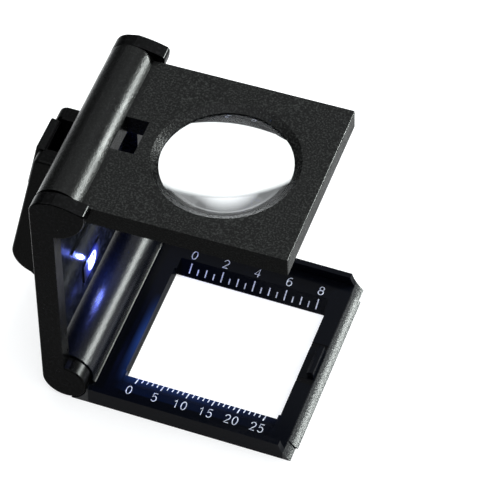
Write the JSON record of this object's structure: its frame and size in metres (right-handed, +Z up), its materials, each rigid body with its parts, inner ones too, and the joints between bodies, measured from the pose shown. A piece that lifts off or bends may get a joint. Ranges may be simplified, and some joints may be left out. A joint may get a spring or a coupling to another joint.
{
  "type": "folding linen tester",
  "caption": "Black folding magnifier: a flat base with a square scale window, a hinged upright with a lamp and battery housing, and a hinged plate holding a round lens over the window.",
  "frame": {"origin": "on the underside of the base, straight below the lower hinge axis, half-way across the width", "axes": "+X along the base to its free end, +Y across to the side with the inch scale, +Z up"},
  "size_m": [0.0598, 0.042, 0.0552],
  "materials": {
    "black_shell": "fine spark texture, satin",
    "black_inner": "satin",
    "lens_glass": "polished",
    "steel": "satin",
    "cell_steel": "satin",
    "board": "satin",
    "resistor": "gloss",
    "led_epoxy": "clear, gloss"
  },
  "bodies": {
    "base": {"base_frame": "black_shell"},
    "upright": {"rear_shell": "black_shell", "inner_panel": "black_inner", "upper_hinge_cap_near": "black_shell", "upper_hinge_cap_far": "black_shell", "lower_hinge_cap_near": "black_shell", "lower_hinge_cap_far": "black_shell", "cap_screws": "steel", "base_hinge_pin": "steel", "lens_hinge_pin": "steel", "battery_housing": "black_shell", "switch_housing": "steel", "button_cell_1": "cell_steel", "button_cell_2": "cell_steel", "button_cell_3": "cell_steel", "battery_contact_plus": "steel", "battery_contact_minus": "steel", "circuit_board": "board", "resistor": "resistor", "led_bulb": "led_epoxy", "led_leads": "steel", "led_bezel": "black_inner"},
    "lens_arm": {"lens_plate": "black_shell", "lens_glass": "lens_glass", "lens_retaining_ring": "black_inner"},
    "switch_cover": {"switch_slider": "black_shell", "switch_nub": "black_inner"},
    "door": {"battery_door": "black_shell"}
  },
  "joints": [
    {"name": "base_hinge", "type": "hinge", "parent": "base", "child": "upright", "pos_m": [0, 0, 0.00415], "axis": [0, 1, 0], "range_deg": [0, 90]},
    {"name": "lens_hinge", "type": "hinge", "parent": "upright", "child": "lens_arm", "pos_m": [0, 0, 0.05075], "axis": [0, 1, 0], "range_deg": [0, 91.33]},
    {"name": "switch_slide", "type": "slide", "parent": "upright", "child": "switch_cover", "axis": [-0.2113, 0, -0.9774], "range_m": [0, 0.0028]},
    {"name": "battery_door_slide", "type": "slide", "parent": "upright", "child": "door", "axis": [-0.2113, 0, -0.9774], "range_m": [0, 0.012]}
  ]
}
